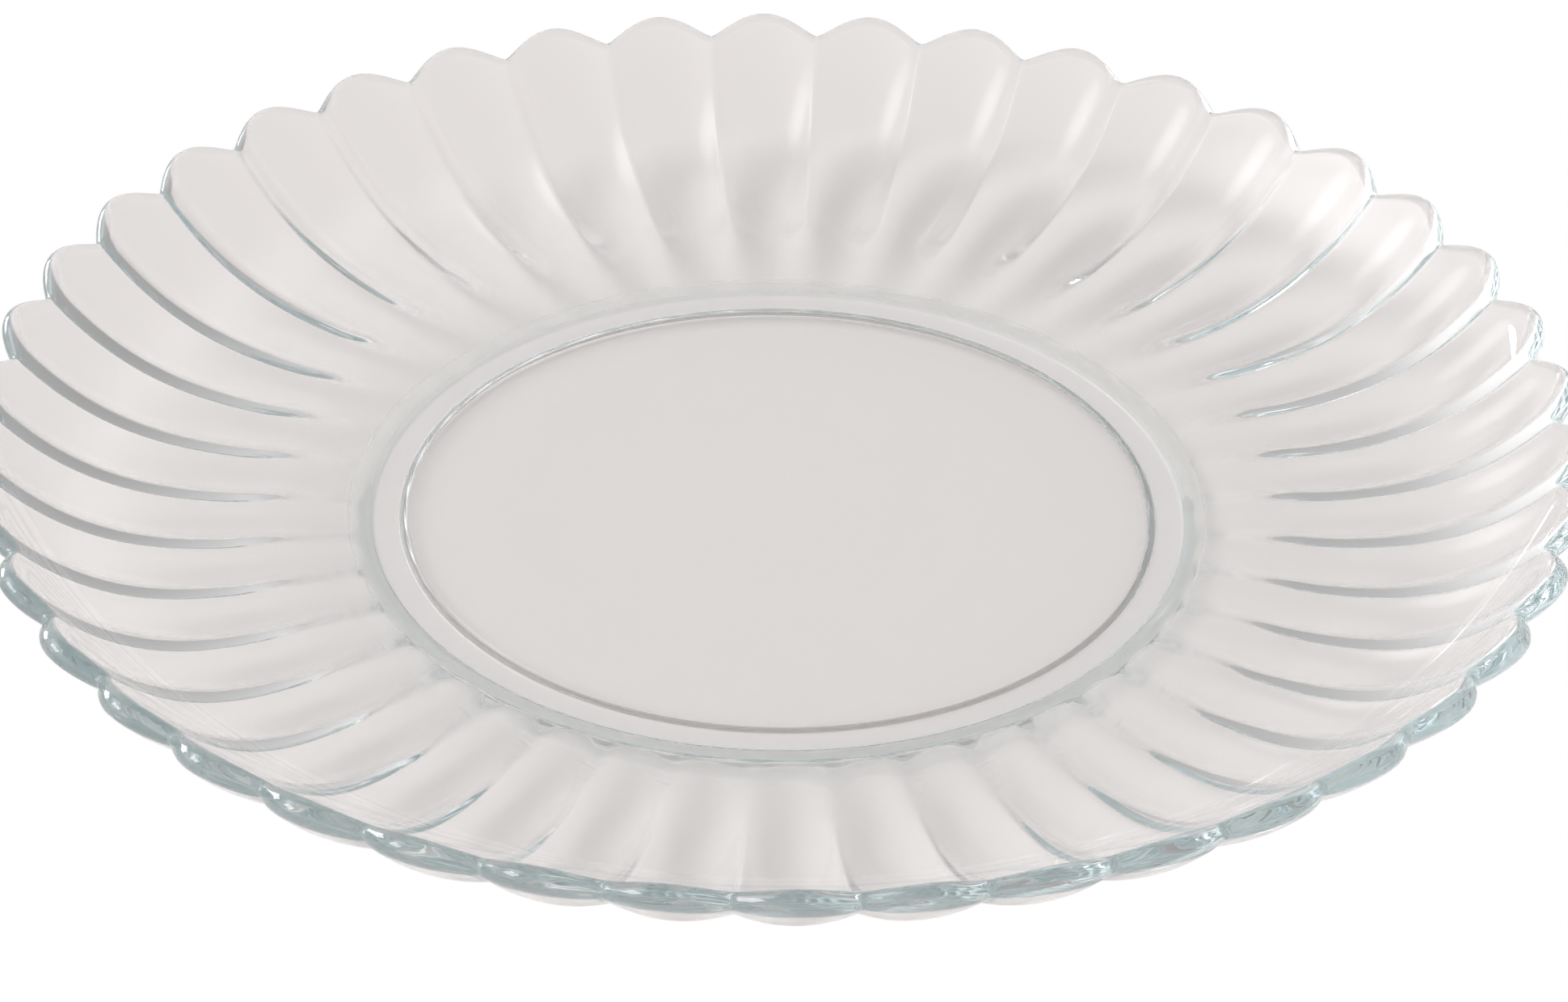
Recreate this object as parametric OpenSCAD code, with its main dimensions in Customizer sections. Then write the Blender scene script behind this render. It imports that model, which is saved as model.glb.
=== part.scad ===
// Scalloped dessert plate, pressed in clear glass in one piece.
// The inside is smooth, as the plunger left it. The underside carries a ring of convex flutes
// that meet in sharp grooves, and each flute ends at the rim in one rounded scallop.
// Millimetres, +Z up, origin at the centre of the foot's resting face.

/* [Rim] */
// Diameter over the tips of opposite scallops
plate_d = 200; // [180:1:300]
// Number of scallops, and of flutes under them
lobe_count = 42; // [24:2:48]
// How far a notch lies inside the scallop tips
scallop_depth = 2.8; // [1:0.1:5]
// Height of the notches above the well, both on the inside
rim_rise = 13.2; // [8:0.1:18]
// Thickness of the flange in the grooves
wall_t = 2.1; // [1.6:0.1:4]
// How far a flute swells below the grooves at the rim
flute_rim_t = 1.2; // [0.3:0.1:3]
// How far a flute swells below the grooves beside the foot
flute_foot_t = 0.3; // [0.1:0.05:1]

/* [Well] */
// Height of the flat inside above the table
well_z = 4.7; // [3.5:0.1:9]
// Width of the curved flange in plan, from the flat inside to the scallop tips
flange_w = 42; // [38:0.5:46]
// How late the flange turns up: 2 is an even curve, more keeps it flatter for longer
curve_power = 3.4; // [2.5:0.1:4.5]

/* [Foot] */
// Outer radius of the foot's resting face
foot_r = 50.6; // [40:0.1:52]
// Width of the foot's resting face
foot_w = 3.4; // [2:0.1:8]
// Slope of the foot's outer wall, in degrees from the table
foot_flare = 34; // [24:1:60]
// Height of the grooves above the table where they start at the foot
shoulder_z = 1.6; // [1.2:0.1:2.5]
// How far the thicker glass round the foot reaches into the flange
shoulder_w = 12; // [4:0.5:16]
// Height of the recessed centre above the table
recess_z = 1.3; // [0.5:0.1:2]
// How far the foot's inner wall leans inwards as it rises
recess_draft = 0.6; // [0:0.1:1]

/* [Hidden] */

tip_r = plate_d / 2;
notch_r = tip_r - scallop_depth;
well_r = tip_r - flange_w;
pitch_angle = 360 / lobe_count;

// Columns across one scallop, from notch to notch
column_shares = [0, 0.12, 0.3, 0.5, 0.7, 0.88];
// Rings along the inside, from the well to the rounded edge, and along the underside from the foot
inside_shares = [0, 0.3, 0.52, 0.68, 0.81, 0.92, 1];
under_shares = [0.1, 0.25, 0.45, 0.63, 0.78, 0.9, 1];
// Directions round the rim's full-round edge, from the inside to the underside
rim_angles = [90, 54, 18, -18, -54, -90];

// How far radius r lies along the curve, 0 where the well ends and 1 at the notches
function along(r) = max(0, (r - well_r) / (notch_r - well_r));

// Height of the inside at radius r: flat, then a power curve up to the rim
function inside_z(r) = well_z + rim_rise * pow(along(r), curve_power);

// Slope of the inside at radius r, in degrees
function slope(r) =
    atan(curve_power * rim_rise / (notch_r - well_r) * pow(along(r), curve_power - 1));

// Swell of a flute across its width, 0 in the grooves and 1 in the middle
function arch(u) = 4 * u * (1 - u);

// Outline of the rim across one scallop
function outline_r(u) = notch_r + scallop_depth * sin(180 * u);

// Height and radius at which the foot's flared wall meets the fluted underside
function join_z(u) = shoulder_z - flute_foot_t * arch(u);
function join_r(u) = foot_r + join_z(u) / tan(foot_flare);

// Thickness without the flute's swell: it thins smoothly from the foot's shoulder to the plain wall
function plain_t(r, u) =
    let (left = max(0, 1 - (r - join_r(u)) / shoulder_w))
    wall_t + (well_z - shoulder_z - wall_t) * left * left;

// Swell of a flute's middle at radius r, which grows along the curve like a quarter of a sine wave
function flute_t(r) =
    flute_foot_t + (flute_rim_t - flute_foot_t) * sin(90 * min(1, along(r)));

// Thickness square to the inside at radius r, with the flute's swell
function thickness(r, u) = plain_t(r, u) + arch(u) * flute_t(r);

// Radius at which the inside ends and the rounded edge begins
function edge_r(u) =
    let (t = thickness(notch_r, u))
    outline_r(u) - t * (1 + sin(slope(outline_r(u) - t))) / 2;

// A point on the inside, and the one square below it on the underside
function inside_point(r) = [r, inside_z(r)];
function under_point(r, u) =
    [r + thickness(r, u) * sin(slope(r)), inside_z(r) - thickness(r, u) * cos(slope(r))];

// Radii of the rings at one column, out to the rounded edge
function inside_radii(u) = [for (s = inside_shares) well_r + s * (edge_r(u) - well_r)];
function under_radii(u) = [for (s = under_shares) join_r(u) + s * (edge_r(u) - join_r(u))];

// The rim's edge is a half circle as wide as the glass is thick, square to the inside
function edge_points(u) =
    let (r = edge_r(u), half_t = thickness(r, u) / 2, a = slope(r))
    let (middle = [r + half_t * sin(a), inside_z(r) - half_t * cos(a)])
    [for (d = rim_angles) middle + half_t * [cos(d + a), sin(d + a)]];

// The foot: flared wall, resting face, inner wall and the edge of the recessed centre
function foot_points(u) = [
    [join_r(u), join_z(u)],
    [foot_r, 0],
    [foot_r - foot_w, 0],
    [foot_r - foot_w - recess_draft, recess_z]
];

// One radial section as [radius, height] points, from the well's edge over the rim and under to the foot
function section(u) =
    let (under = under_radii(u))
    concat(
        [for (r = inside_radii(u)) inside_point(r)],
        edge_points(u),
        [for (i = [len(under) - 1:-1:0]) under_point(under[i], u)],
        foot_points(u)
    );

// Pressed glass, one gob: sections are carried round the axis and closed at two centre points
module plate() {
    per_lobe = len(column_shares);
    columns = lobe_count * per_lobe;
    rings = len(section(0));
    // A scallop's middle lies on +X, so its notches are half a pitch to either side
    around = [for (c = [0:columns - 1])
        let (u = column_shares[c % per_lobe], a = (floor(c / per_lobe) + u - 1/2) * pitch_angle)
        for (p = section(u)) [p[0] * cos(a), p[0] * sin(a), p[1]]];
    top_centre = columns * rings;
    bottom_centre = top_centre + 1;
    points = concat(around, [[0, 0, well_z], [0, 0, recess_z]]);

    // Each cell is split along the diagonal that mirrors the other half of its scallop
    side_faces = [for (c = [0:columns - 1], k = [0:rings - 2])
        let (here = c * rings + k, next = ((c + 1) % columns) * rings + k)
        let (rising = column_shares[c % per_lobe] < 1/2)
        for (face = rising
            ? [[here, next + 1, here + 1], [here, next, next + 1]]
            : [[here, next, here + 1], [next, next + 1, here + 1]]) face];
    top_faces = [for (c = [0:columns - 1])
        [top_centre, ((c + 1) % columns) * rings, c * rings]];
    bottom_faces = [for (c = [0:columns - 1])
        [bottom_centre, c * rings + rings - 1, ((c + 1) % columns) * rings + rings - 1]];

    color([0.87, 0.91, 0.91, 0.55])
        polyhedron(points = points, faces = concat(side_faces, top_faces, bottom_faces));
}

plate();
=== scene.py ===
"""A clear pressed-glass dessert plate with a scalloped, fluted flange, in a plain pale studio.

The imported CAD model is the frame. One high-resolution shell of glass replaces its faceted plate.
Lengths are metres and angles radians, unless a name says otherwise.
"""

import logging
import math
from dataclasses import dataclass
from enum import Enum

import bpy
import numpy as np
from mathutils import Matrix, Vector


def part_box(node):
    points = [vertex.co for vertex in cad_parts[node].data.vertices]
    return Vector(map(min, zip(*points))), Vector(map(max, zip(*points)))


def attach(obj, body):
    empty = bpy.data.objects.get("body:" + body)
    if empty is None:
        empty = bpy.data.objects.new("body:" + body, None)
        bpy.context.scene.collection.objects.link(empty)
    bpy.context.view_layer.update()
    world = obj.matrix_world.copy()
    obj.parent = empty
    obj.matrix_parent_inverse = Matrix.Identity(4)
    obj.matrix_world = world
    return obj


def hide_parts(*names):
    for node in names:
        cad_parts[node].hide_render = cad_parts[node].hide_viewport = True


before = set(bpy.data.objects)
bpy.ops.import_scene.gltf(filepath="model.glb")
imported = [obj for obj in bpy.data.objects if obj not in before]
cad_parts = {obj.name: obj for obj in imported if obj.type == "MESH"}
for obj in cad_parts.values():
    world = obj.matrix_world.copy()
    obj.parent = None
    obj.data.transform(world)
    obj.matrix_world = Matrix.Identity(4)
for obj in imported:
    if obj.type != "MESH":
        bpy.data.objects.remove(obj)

LOG = logging.getLogger("dessert_plate")
MM = 0.001
WHITE = (1.0, 1.0, 1.0, 1.0)


class Ray(Enum):
    """The output of a Light Path node that the table and the world read."""

    CAMERA = "Is Camera Ray"


class Wire:
    """A shader socket that takes part in Python expressions, each operator adding one Math node."""

    def __init__(self, tree: bpy.types.NodeTree, socket: bpy.types.NodeSocket) -> None:
        """Wraps a socket.

        Args:
            tree: the node tree that new Math nodes go into.
            socket: the output socket that this wire carries.
        """
        self.tree = tree
        self.socket = socket

    def _math(self, operation: str, first: "Wire | float", second: "Wire | float") -> "Wire":
        """Adds one Math node.

        Args:
            operation: the Math node's operation.
            first: the left operand.
            second: the right operand.

        Returns:
            The wire that carries the result.
        """
        node = self.tree.nodes.new("ShaderNodeMath")
        node.operation = operation
        for slot, value in zip(node.inputs, (first, second)):
            if isinstance(value, Wire):
                self.tree.links.new(value.socket, slot)
            else:
                slot.default_value = value
        return Wire(self.tree, node.outputs[0])

    def __add__(self, other: "Wire | float") -> "Wire":
        """Sum."""
        return self._math("ADD", self, other)

    def __radd__(self, other: float) -> "Wire":
        """Sum with a number on the left."""
        return self._math("ADD", other, self)

    def __sub__(self, other: "Wire | float") -> "Wire":
        """Difference."""
        return self._math("SUBTRACT", self, other)

    def __rsub__(self, other: float) -> "Wire":
        """Difference from a number on the left."""
        return self._math("SUBTRACT", other, self)

    def __mul__(self, other: "Wire | float") -> "Wire":
        """Product."""
        return self._math("MULTIPLY", self, other)

    def __rmul__(self, other: float) -> "Wire":
        """Product with a number on the left."""
        return self._math("MULTIPLY", other, self)

    def largest(self, other: "Wire | float") -> "Wire":
        """The larger of two values."""
        return self._math("MAXIMUM", self, other)

    def smallest(self, other: "Wire | float") -> "Wire":
        """The smaller of two values."""
        return self._math("MINIMUM", self, other)


class Shader:
    """A node tree with one call that adds any node."""

    def __init__(self, owner: bpy.types.Material | bpy.types.World) -> None:
        """Empties the owner's node tree.

        Args:
            owner: the material or world whose nodes are written.
        """
        owner.use_nodes = True
        self.tree = owner.node_tree
        self.tree.nodes.clear()

    def add(self, kind: str, settings: dict | None = None, **sockets: object) -> bpy.types.Node:
        """Adds one node.

        Args:
            kind: the node's type without its ShaderNode prefix.
            settings: properties that are set before the sockets.
            **sockets: input values or wires, by socket name with _ for each space.

        Returns:
            The new node.
        """
        node = self.tree.nodes.new("ShaderNode" + kind)
        for name, value in (settings or {}).items():
            setattr(node, name, value)
        for name, value in sockets.items():
            slot = node.inputs[name.replace("_", " ")]
            if isinstance(value, Wire):
                self.tree.links.new(value.socket, slot)
            else:
                slot.default_value = value
        return node

    def wire(self, node: bpy.types.Node, output: str | int = 0) -> Wire:
        """The wire that carries one of a node's outputs."""
        return Wire(self.tree, node.outputs[output])

    def mix(self, factor: Wire, first: Wire, second: Wire) -> Wire:
        """Mixes two shaders.

        Args:
            factor: 0 shows the first and 1 the second.
            first: a shader wire.
            second: a shader wire.

        Returns:
            The mixed shader's wire.
        """
        node = self.tree.nodes.new("ShaderNodeMixShader")
        for slot, value in zip(node.inputs, (factor, first, second)):
            self.tree.links.new(value.socket, slot)
        return self.wire(node)

    def seen(self, kind: Ray) -> Wire:
        """The wire that is 1 for rays of this kind and 0 for others."""
        return self.wire(self.add("LightPath"), kind.value)


@dataclass(frozen=True)
class SatinAndPaintedShadeRing:
    """A ring of matt glass on a wall of the foot: a satin finish on the flared outer wall, and
    painted shade, a dark matt band, on the inner wall.

    The finish lies between two radii, on the underside only. It fades in over fade at the inner
    radius and below the ceiling, and out over end_fade at the outer radius.
    """

    inner_r: float
    outer_r: float
    share: float
    bsdf: str
    colour: tuple[float, float, float]
    fade: float = 0.15 * MM
    end_fade: float = 0.15 * MM
    ceiling: float = 2.4 * MM

    def factor(self, radius: Wire, height: Wire) -> Wire:
        """How much of the ring's matt shader shows (satin on the outer wall, painted shade on the
        inner): the product of a ramp at each radius and one below the ceiling.

        Args:
            radius: distance from the axis.
            height: height above the table.

        Returns:
            A wire from 0 to the ring's share.
        """
        sharp = 1.0 / self.fade
        start = ((radius - self.inner_r) * sharp).largest(0.0).smallest(1.0)
        end = ((self.outer_r - radius) * (1.0 / self.end_fade)).largest(0.0).smallest(1.0)
        under = ((self.ceiling - height) * sharp).largest(0.0).smallest(1.0)
        return start * end * under * self.share


@dataclass(frozen=True)
class ClearGlass:
    """Fire-polished soda-lime glass: clear, with a faint blue-green tint that long paths deepen."""

    name: str = "clear_pressed_glass"
    ior: float = 1.52
    worn_roughness: float = 0.3
    worn_z: float = 0.9 * MM
    worn_fade: float = 0.4 * MM
    tint: tuple[float, float, float] = (0.10, 0.38, 0.42)
    density: float = 3.2
    ripple_scale: float = 85.0
    ripple_height: float = 0.010 * MM
    grain_scale: float = 420.0
    grain_height: float = 0.0012 * MM
    outer_wall: tuple[float, float] = (50.6 * MM, 53.8 * MM)
    outer_fade: float = 0.6 * MM
    outer_share: float = 0.6
    outer_bsdf: str = "BsdfTranslucent"
    outer_colour: tuple[float, float, float] = (0.97, 0.98, 0.97)
    # Painted shade: the inner wall's dark diffuse band paints the shade line along the foot's inner
    # wall.
    inner_wall: tuple[float, float] = (46.5 * MM, 47.25 * MM)
    inner_share: float = 0.6
    inner_bsdf: str = "BsdfDiffuse"
    inner_shade_colour: tuple[float, float, float] = (0.45, 0.41, 0.40)

    def satin_and_painted_shade_rings(self) -> tuple[SatinAndPaintedShadeRing, SatinAndPaintedShadeRing]:
        """The satin finish of the foot's flared outer wall, and painted shade on its inner wall: a
        dark matt band.
        """
        return (
            SatinAndPaintedShadeRing(*self.outer_wall, self.outer_share, self.outer_bsdf, self.outer_colour,
                      end_fade=self.outer_fade),
            SatinAndPaintedShadeRing(*self.inner_wall, self.inner_share, self.inner_bsdf, self.inner_shade_colour),
        )

    def material(self) -> bpy.types.Material:
        """Builds the glass.

        Returns:
            A Principled glass with absorption inside, a slow ripple left by the mould, a satin
            finish on the foot's outer wall and a dark matt band of painted shade on its inner wall.
        """
        made = bpy.data.materials.new(self.name)
        shader = Shader(made)
        place = shader.wire(shader.add("TexCoord"), "Object")
        slow = shader.add("TexNoise", Vector=place, Scale=self.ripple_scale, Detail=1.0)
        fine = shader.add("TexNoise", Vector=place, Scale=self.grain_scale, Detail=2.0)
        relief = (self.ripple_height * shader.wire(slow, 0)
                  + self.grain_height * shader.wire(fine, 0))
        bump = shader.add("Bump", Strength=1.0, Distance=1.0, Height=relief)
        split = shader.add("SeparateXYZ", Vector=place)
        flat = shader.add("CombineXYZ", X=shader.wire(split, "X"), Y=shader.wire(split, "Y"))
        length = shader.add("VectorMath", {"operation": "LENGTH"}, Vector=shader.wire(flat))
        radius, height = shader.wire(length, "Value"), shader.wire(split, "Z")
        glass = shader.add(
            "BsdfPrincipled",
            Base_Color=WHITE,
            Roughness=self.worn(height),
            IOR=self.ior,
            Transmission_Weight=1.0,
            Normal=shader.wire(bump),
        )
        surface = shader.wire(glass)
        # The outer ring is a satin finish; the inner ring's dark diffuse band is painted shade.
        for ring in self.satin_and_painted_shade_rings():
            ring_shader = shader.add(ring.bsdf, Color=(*ring.colour, 1.0))
            surface = shader.mix(ring.factor(radius, height), surface, shader.wire(ring_shader))
        inside = shader.add("VolumeAbsorption", Color=(*self.tint, 1.0), Density=self.density)
        shader.add("OutputMaterial", Surface=surface, Volume=shader.wire(inside))
        return made

    def worn(self, height: Wire) -> Wire:
        """Roughness: polished, but worn on the lowest of the foot, where it slides on tables.

        Args:
            height: height above the table.

        Returns:
            The roughness, which fades out towards the worn height.
        """
        low = ((self.worn_z - height) * (1.0 / self.worn_fade)).largest(0.0).smallest(1.0)
        return low * self.worn_roughness


@dataclass(frozen=True)
class GridShape:
    """How finely the glass is divided.

    Columns crowd towards the grooves, and a spacing power below 1 crowds the inside's rings
    towards the rim.
    """

    per_lobe: int = 24
    crowding: float = 0.55
    inside_rings: int = 22
    inside_spacing: float = 0.7
    under_rings: int = 30
    edge_steps: int = 14
    corner_steps: int = 5


@dataclass
class PressedPlate:
    """The plate as one closed shell, worked out from the same sizes as the CAD plate.

    The sizes that the CAD plate doesn't have are softenings and roundings: of a notch, of a groove
    far from and beside the foot, and of the corners of the foot and the recess. Sections are arrays
    of one row for each column round the axis and one entry for each ring along the section.
    """

    tip_r: float
    lobe_count: int = 42
    scallop_depth: float = 2.8 * MM
    rim_rise: float = 13.2 * MM
    wall_t: float = 2.1 * MM
    flute_rim_t: float = 1.2 * MM
    flute_foot_t: float = 0.3 * MM
    well_z: float = 4.7 * MM
    flange_w: float = 42.0 * MM
    curve_power: float = 3.4
    foot_r: float = 50.6 * MM
    foot_w: float = 3.4 * MM
    foot_flare: float = math.radians(34.0)
    shoulder_z: float = 1.6 * MM
    shoulder_w: float = 12.0 * MM
    recess_z: float = 1.3 * MM
    recess_draft: float = 0.6 * MM
    notch_soft_share: float = 0.07
    groove_soft_share: float = 0.05
    foot_soft_share: float = 1.2
    soft_w: float = 10.0 * MM
    shoulder_round: float = 1.1 * MM
    toe_round: float = 0.3 * MM
    ledge_round: float = 0.9 * MM
    grid: GridShape = GridShape()

    def __post_init__(self) -> None:
        """Works out the sizes that follow from the named ones."""
        self.notch_r = self.tip_r - self.scallop_depth
        self.well_r = self.tip_r - self.flange_w

    def shares(self) -> np.ndarray:
        """Where each column lies across its scallop.

        The columns are t - c sin(2 pi t) / (2 pi), which crowds them towards the grooves.

        Returns:
            One scallop's shares from 0 at a groove to just under 1 at the next.
        """
        t = np.arange(self.grid.per_lobe) / self.grid.per_lobe
        return t - self.grid.crowding * np.sin(2 * np.pi * t) / (2 * np.pi)

    def along(self, r: np.ndarray) -> np.ndarray:
        """How far radii lie along the curve, 0 where the well ends and 1 at the notches."""
        return np.maximum(0.0, (r - self.well_r) / (self.notch_r - self.well_r))

    def inside_z(self, r: np.ndarray) -> np.ndarray:
        """Height of the inside: the flat well, then a power of the share of the way to the rim.

        Args:
            r: radii.

        Returns:
            The heights at those radii.
        """
        return self.well_z + self.rim_rise * self.along(r) ** self.curve_power

    def slope(self, r: np.ndarray) -> np.ndarray:
        """Slope of the inside, from the derivative of its height.

        Args:
            r: radii.

        Returns:
            The slopes at those radii.
        """
        steepest = self.curve_power * self.rim_rise / (self.notch_r - self.well_r)
        return np.arctan(steepest * self.along(r) ** (self.curve_power - 1))

    @staticmethod
    def softened(value: np.ndarray, soft: np.ndarray | float) -> np.ndarray:
        """Rounds a share's sharp zero: its hypotenuse with the softness, brought back to 0 to 1.

        Args:
            value: shares from 0 to 1.
            soft: the softness, itself a share.

        Returns:
            The rounded shares.
        """
        return (np.hypot(value, soft) - soft) / (np.hypot(1.0, soft) - soft)

    def thickness(self, r: np.ndarray, swell: np.ndarray) -> np.ndarray:
        """Thickness square to the inside: the plain glass's, and the swell of the flute.

        Glass beside the foot is thicker, and thins with the square of what is left of the shoulder.
        A flute grows along the curve like a quarter of a sine wave.

        Args:
            r: radii.
            swell: the plain parabola's share, 0 in the grooves and 1 in the middle.

        Returns:
            The thicknesses.
        """
        arch = self.arch(swell, r)
        start = self.join(swell)[..., 0]
        left = np.maximum(0.0, 1 - (r - start) / self.shoulder_w)
        plain = self.wall_t + (self.well_z - self.shoulder_z - self.wall_t) * left**2
        grown = np.sin(np.pi / 2 * np.minimum(1.0, self.along(r)))
        return plain + arch * (self.flute_foot_t + (self.flute_rim_t - self.flute_foot_t) * grown)

    def arch(self, swell: np.ndarray, r: np.ndarray) -> np.ndarray:
        """Swell across a flute, whose grooves are rounded beside the foot and sharp further out.

        Args:
            swell: the plain parabola's share, 0 in the grooves and 1 in the middle.
            r: radii.

        Returns:
            The swell with its grooves rounded.
        """
        left = 1 - np.clip((r - self.well_r) / self.soft_w, 0.0, 1.0)
        soft = self.groove_soft_share + (self.foot_soft_share - self.groove_soft_share) * left
        return self.softened(swell, soft)

    def join(self, swell: np.ndarray) -> np.ndarray:
        """Where the foot's flared wall meets the fluted underside.

        Args:
            swell: the plain parabola's share across the flute.

        Returns:
            Radius and height for each column.
        """
        z = self.shoulder_z - self.flute_foot_t * self.arch(swell, self.foot_r)
        return np.stack([self.foot_r + z / math.tan(self.foot_flare), z], -1)

    @staticmethod
    def corner(before: np.ndarray, at: np.ndarray, after: np.ndarray, reach: float,
               steps: int) -> np.ndarray:
        """Rounds one corner of a section with a parabola whose arms reach along both sides.

        Args:
            before: the point before the corner, for each column.
            at: the corner.
            after: the point after it.
            reach: how far along each side the rounding starts.
            steps: how many spans the parabola has.

        Returns:
            The points of the parabola, one row for each column.
        """
        def arm(end: np.ndarray) -> np.ndarray:
            """The point on a side where the rounding starts."""
            side = end - at
            return at + side * reach / np.linalg.norm(side, axis=-1, keepdims=True)

        t = np.linspace(0.0, 1.0, steps + 1)[None, :, None]
        first, last = arm(before)[:, None], arm(after)[:, None]
        return (1 - t) ** 2 * first + 2 * t * (1 - t) * at[:, None] + t**2 * last

    def sections(self) -> np.ndarray:
        """The radial section at every column of one scallop.

        Inside rings follow the curve. The rim's edge is a half circle as wide as the glass is
        thick. The underside lies square below the inside, and the foot and the recess are straight
        sides with rounded corners.

        Returns:
            Radius and height, one row for each column and one entry for each ring.
        """
        g = self.grid
        u = self.shares()
        swell = (4 * u * (1 - u))[:, None]
        ones = np.ones_like(swell)
        outline = self.notch_r + self.scallop_depth * self.softened(
            np.sin(np.pi * u), self.notch_soft_share)[:, None]
        rim_t = self.thickness(self.notch_r * ones, swell)
        edge_r = outline - rim_t * (1 + np.sin(self.slope(outline - rim_t))) / 2

        share = np.linspace(0.0, 1.0, g.inside_rings)[None] ** g.inside_spacing
        radii = self.well_r + share * (edge_r - self.well_r)
        inside = np.stack([radii, self.inside_z(radii)], -1)

        join = self.join(swell)[:, 0]
        start = join[:, :1] + self.shoulder_round
        radii = start + np.linspace(1.0, 0.0, g.under_rings)[None] * (edge_r - start)
        a, t = self.slope(radii), self.thickness(radii, swell)
        under = np.stack([radii + t * np.sin(a), self.inside_z(radii) - t * np.cos(a)], -1)

        a, half = a[:, :1], t[:, :1] / 2
        middle = np.stack([edge_r + half * np.sin(a), self.inside_z(edge_r) - half * np.cos(a)], -1)
        turn = np.linspace(math.pi / 2, -math.pi / 2, g.edge_steps + 1)[None, 1:-1] + a
        edge = middle + half[..., None] * np.stack([np.cos(turn), np.sin(turn)], -1)

        toe = np.concatenate([self.foot_r * ones, 0 * ones], 1)
        heel = np.concatenate([(self.foot_r - self.foot_w) * ones, 0 * ones], 1)
        ledge = heel + np.array([-self.recess_draft, self.recess_z])
        centre = np.concatenate([0 * ones, self.recess_z * ones], 1)
        foot = [
            self.corner(under[:, -1], join, toe, self.shoulder_round, g.corner_steps),
            self.corner(join, toe, heel, self.toe_round, g.corner_steps),
            self.corner(toe, heel, ledge, self.toe_round, g.corner_steps),
            self.corner(heel, ledge, centre, self.ledge_round, g.corner_steps),
        ]
        # Two more rings on each flat centre keep the triangles at its pole short
        thirds = np.array([1 / 3, 2 / 3]) * ones
        well = np.stack([self.well_r * thirds, self.well_z + 0 * thirds], -1)
        recess = np.stack([ledge[:, :1] * thirds[:, ::-1], self.recess_z + 0 * thirds], -1)
        return np.concatenate([well, inside, edge, under, *foot, recess], 1)

    def mesh(self, name: str) -> bpy.types.Object:
        """Carries one scallop's sections round the axis and closes both centres.

        Args:
            name: the new object's name.

        Returns:
            The plate's object, smooth and closed, at the origin.
        """
        section = self.sections()
        per_lobe, rings = section.shape[:2]
        columns = per_lobe * self.lobe_count
        lobe = np.arange(self.lobe_count)[:, None]
        angle = ((lobe + self.shares()[None] - 0.5) * 2 * np.pi / self.lobe_count).reshape(-1, 1)
        radius, height = np.moveaxis(np.tile(section, (self.lobe_count, 1, 1)), -1, 0)
        points = np.stack([radius * np.cos(angle), radius * np.sin(angle), height], -1)
        poles = np.array([[0.0, 0.0, self.well_z], [0.0, 0.0, self.recess_z]])
        vertices = np.concatenate([points.reshape(-1, 3), poles])

        c, k = np.meshgrid(np.arange(columns), np.arange(rings - 1), indexing="ij")
        here = c * rings + k
        after = (c + 1) % columns * rings + k
        quads = np.stack([here, here + 1, after + 1, after], -1).reshape(-1, 4)
        first = np.arange(columns) * rings
        after = np.roll(first, -1)
        last = rings - 1
        top_pole, bottom_pole = (np.full(columns, len(vertices) - back) for back in (2, 1))
        top = np.stack([top_pole, first, after], -1)
        bottom = np.stack([bottom_pole, after + last, first + last], -1)
        return new_object(name, vertices, quads, np.concatenate([top, bottom]))


def new_object(name: str, vertices: np.ndarray, quads: np.ndarray,
               triangles: np.ndarray) -> bpy.types.Object:
    """Makes a smooth mesh object from whole arrays.

    Args:
        name: the object's name.
        vertices: one row of x, y and z for each point.
        quads: one row of four point numbers for each four-sided face.
        triangles: one row of three point numbers for each three-sided face.

    Returns:
        The linked object.
    """
    mesh = bpy.data.meshes.new(name)
    sizes = np.concatenate([np.full(len(quads), 4), np.full(len(triangles), 3)])
    loops = np.concatenate([quads.ravel(), triangles.ravel()])
    mesh.vertices.add(len(vertices))
    mesh.vertices.foreach_set("co", vertices.astype(np.float32).ravel())
    mesh.loops.add(len(loops))
    mesh.loops.foreach_set("vertex_index", loops.astype(np.int32))
    mesh.polygons.add(len(sizes))
    mesh.polygons.foreach_set("loop_start", (np.cumsum(sizes) - sizes).astype(np.int32))
    mesh.polygons.foreach_set("use_smooth", np.ones(len(sizes), bool))
    mesh.update(calc_edges=True)
    mesh.validate()
    made = bpy.data.objects.new(name, mesh)
    bpy.context.scene.collection.objects.link(made)
    return made


def direction(azimuth: float, elevation: float) -> Vector:
    """The unit vector towards a place in the room.

    Args:
        azimuth: angle from the front, positive to the right.
        elevation: angle above the table.

    Returns:
        (sin azimuth cos elevation, -cos azimuth cos elevation, sin elevation).
    """
    level = math.cos(elevation)
    return Vector((math.sin(azimuth) * level, -math.cos(azimuth) * level, math.sin(elevation)))


def looking_back(away: Vector, distance: float) -> Matrix:
    """The place of a lamp or camera that looks from a distance along away at the origin."""
    turned = away.to_track_quat("Z", "Y").to_matrix().to_4x4()
    return Matrix.Translation(away * distance) @ turned


@dataclass(frozen=True)
class GlintPanel:
    """A rectangular lamp that looks at the plate and shows in reflections off its outside only.

    The camera, matt surfaces and rays through the glass don't see it, so it adds no light to them.
    """

    name: str
    azimuth: float
    elevation: float
    distance: float = 1.2
    width: float = 0.50
    height: float = 0.40
    radiance: float = 7.0

    def build(self) -> None:
        """Hangs the lamp, whose energy is its radiance times pi times its area."""
        data = bpy.data.lights.new(self.name, "AREA")
        data.shape = "RECTANGLE"
        data.size, data.size_y = self.width, self.height
        data.energy = self.radiance * math.pi * self.width * self.height
        lamp = bpy.data.objects.new(self.name, data)
        lamp.matrix_world = looking_back(direction(self.azimuth, self.elevation), self.distance)
        lamp.visible_camera = lamp.visible_diffuse = lamp.visible_transmission = False
        bpy.context.scene.collection.objects.link(lamp)


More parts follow.
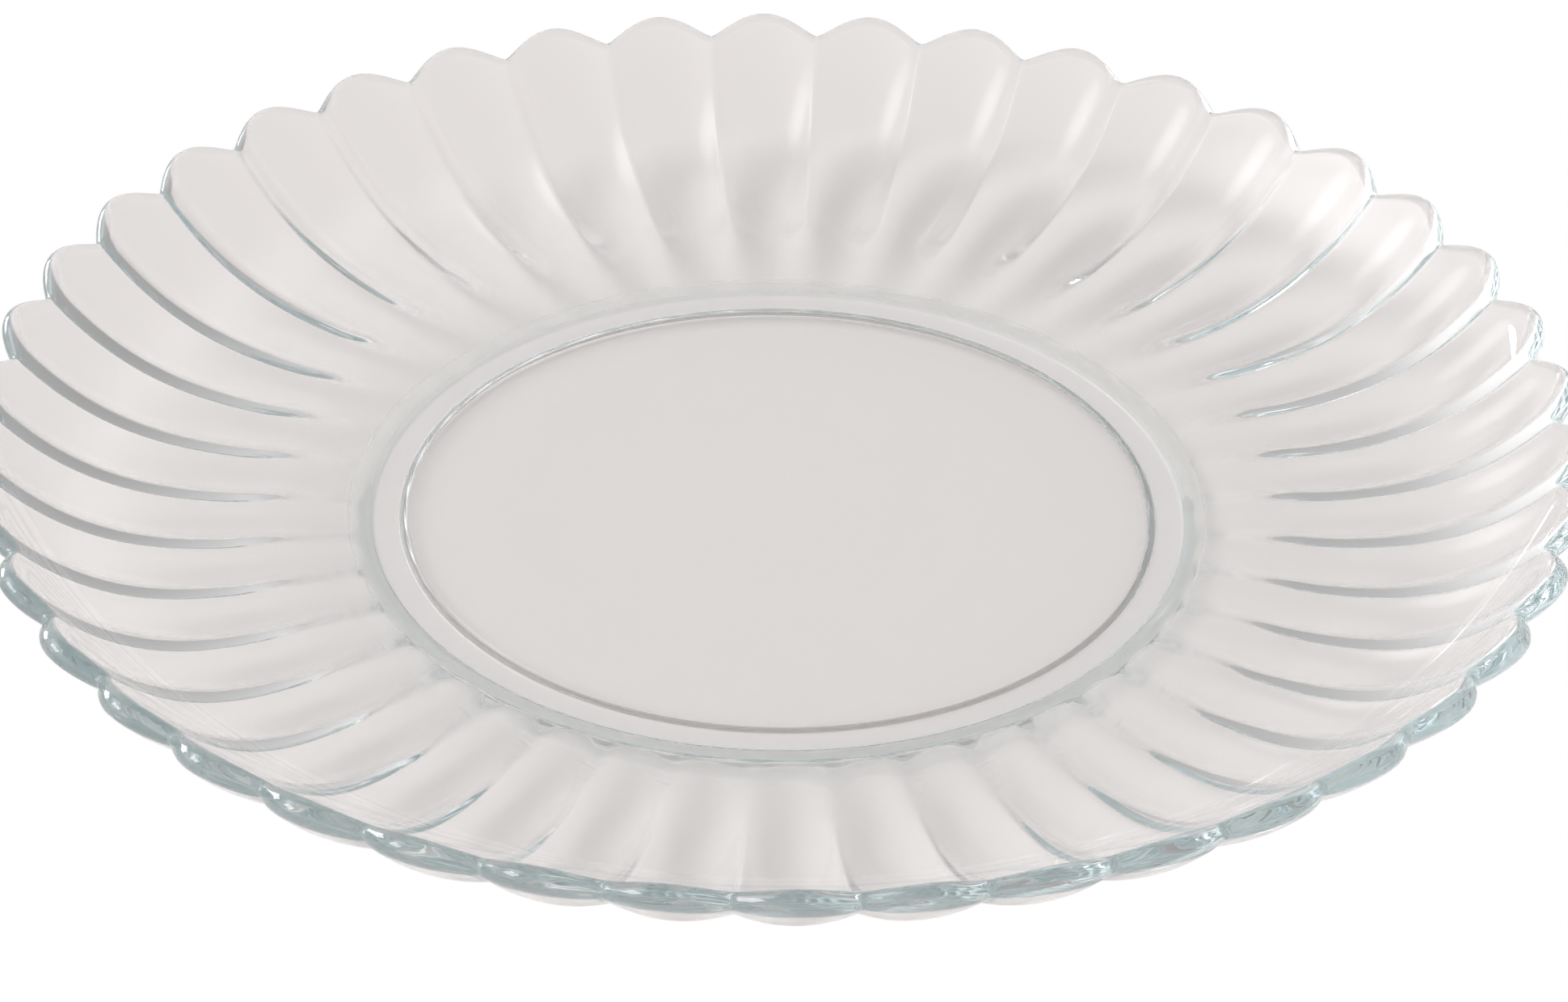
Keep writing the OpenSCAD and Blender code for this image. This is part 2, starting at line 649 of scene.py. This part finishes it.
@dataclass
class Studio:
    """The table under the plate, the sky, the lamps and the camera.

    The table lies a little below the foot, so that the two faces aren't in one plane.
    """

    table_colour: tuple[float, float, float] = (0.90, 0.88, 0.87)
    table_radius: float = 3.0
    table_sides: int = 96
    table_drop: float = 0.1 * MM
    sky_colour: tuple[float, float, float] = (1.0, 0.975, 0.97)
    sky_peak: float = 6.0
    sky_low: float = 0.91
    sky_high: float = -0.40
    sky_right: float = -0.37
    sky_back: float = -0.33
    sky_left: float = 0.60
    glow_level: float = 3.4
    glow_azimuth: float = math.radians(-105.0)
    glow_elevation: float = math.radians(42.0)
    glow_reach: float = math.radians(22.0)
    glint_panels: tuple[GlintPanel, ...] = (
        GlintPanel("left_glint", math.radians(-82.0), math.radians(28.0)),
        GlintPanel("low_left_glint", math.radians(-126.0), math.radians(10.0)),
    )
    glass_bounces: int = 128
    lens_mm: float = 137.72
    sensor_mm: float = 36.0
    clip_near: float = 0.01
    clip_far: float = 20.0
    camera_distance: float = 0.74876
    camera_elevation: float = math.radians(33.916)
    camera_turn: float = math.radians(2.480)
    camera_roll: float = math.radians(0.989)
    aim: tuple[float, float, float] = (0.787 * MM, -0.875 * MM, 4.708 * MM)

    def table(self) -> None:
        """A pale tabletop: plain white to the camera, and a lit warm grey to all other rays."""
        side = np.arange(self.table_sides)
        angle = side * 2 * np.pi / self.table_sides
        points = np.stack([np.cos(angle), np.sin(angle), 0 * angle], -1) * self.table_radius
        points = np.concatenate([points, [[0.0, 0.0, 0.0]]]) - [0.0, 0.0, self.table_drop]
        middle = np.full(self.table_sides, self.table_sides)
        triangles = np.stack([middle, side, (side + 1) % self.table_sides], -1)
        top = new_object("tabletop", points, np.zeros((0, 4), int), triangles)
        made = bpy.data.materials.new("pale_tabletop")
        shader = Shader(made)
        lit = shader.add("BsdfDiffuse", Color=(*self.table_colour, 1.0))
        white = shader.add("Emission", Color=WHITE, Strength=1.0)
        shown = shader.mix(shader.seen(Ray.CAMERA), shader.wire(lit), shader.wire(white))
        shader.add("OutputMaterial", Surface=shown)
        top.data.materials.append(made)

    def sky(self) -> None:
        """White to the camera, and soft daylight to the plate, strongest at the front left.

        Along a unit direction (x, y, z) its level is
        sky_low + sky_high z^2 + sky_right x + sky_back y, and sky_left x^2 more on the left.
        A soft glow at the upper left adds glow_level at its middle. It falls with the square of
        what is left of its reach, measured by the cosine of the angle from its middle. The level is
        taken as a share of sky_peak, so that it can mix a black and a bright shader.
        """
        world = bpy.data.worlds.new("studio_sky")
        bpy.context.scene.world = world
        shader = Shader(world)
        split = shader.add("SeparateXYZ", Vector=shader.wire(shader.add("TexCoord"), "Generated"))
        right, back, up = (shader.wire(split, axis) for axis in "XYZ")
        left = (0.0 - right).largest(0.0)
        level = (self.sky_low + self.sky_high * (up * up) + self.sky_right * right
                 + self.sky_back * back + self.sky_left * (left * left))
        glow = direction(self.glow_azimuth, self.glow_elevation)
        cosine = glow.x * right + glow.y * back + glow.z * up
        edge = math.cos(self.glow_reach)
        near = ((cosine - edge) * (1.0 / (1.0 - edge))).largest(0.0)
        level = level + self.glow_level * (near * near)
        dark = shader.add("Background", Strength=0.0)
        bright = shader.add("Background", Color=(*self.sky_colour, 1.0), Strength=self.sky_peak)
        soft = shader.mix(level * (1.0 / self.sky_peak), shader.wire(dark), shader.wire(bright))
        white = shader.add("Background", Color=WHITE, Strength=1.0)
        shown = shader.mix(shader.seen(Ray.CAMERA), soft, shader.wire(white))
        shader.add("OutputWorld", Surface=shown)

    def lamps(self) -> None:
        """Two lamps on the left, whose reflections glint along the rim's edge."""
        for panel in self.glint_panels:
            panel.build()

    def camera(self) -> None:
        """The photograph's view, with its small turn and roll."""
        data = bpy.data.cameras.new("photo_camera")
        data.lens = self.lens_mm
        data.sensor_width = self.sensor_mm
        data.clip_start, data.clip_end = self.clip_near, self.clip_far
        aim = Matrix.Rotation(self.camera_turn, 3, "Z") @ Vector(self.aim)
        away = direction(self.camera_turn, self.camera_elevation)
        camera = bpy.data.objects.new("photo_camera", data)
        camera.matrix_world = (Matrix.Translation(aim) @ looking_back(away, self.camera_distance)
                               @ Matrix.Rotation(self.camera_roll, 4, "Z"))
        bpy.context.scene.collection.objects.link(camera)
        bpy.context.scene.camera = camera

    def build(self) -> None:
        """Sets the view transform and the light paths, and builds all that isn't the plate.

        Light runs far inside the rim by total reflection, so it gets many bounces.
        """
        bpy.context.scene.view_settings.view_transform = "Standard"
        paths = bpy.context.scene.cycles
        paths.max_bounces = paths.transmission_bounces = paths.glossy_bounces = self.glass_bounces
        paths.blur_glossy = 0.0
        self.table()
        self.sky()
        self.lamps()
        self.camera()


def main() -> None:
    """Builds the studio and the plate."""
    logging.basicConfig(level=logging.INFO, format="%(name)s: %(message)s")
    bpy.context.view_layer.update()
    Studio().build()
    low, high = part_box("plate")
    plate = PressedPlate(tip_r=(high.x - low.x) / 2).mesh("pressed_glass_plate")
    plate.data.materials.append(ClearGlass().material())
    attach(plate, "root")
    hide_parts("plate")
    LOG.info("pressed_glass_plate: %d faces", len(plate.data.polygons))


if __name__ == "__main__":
    main()
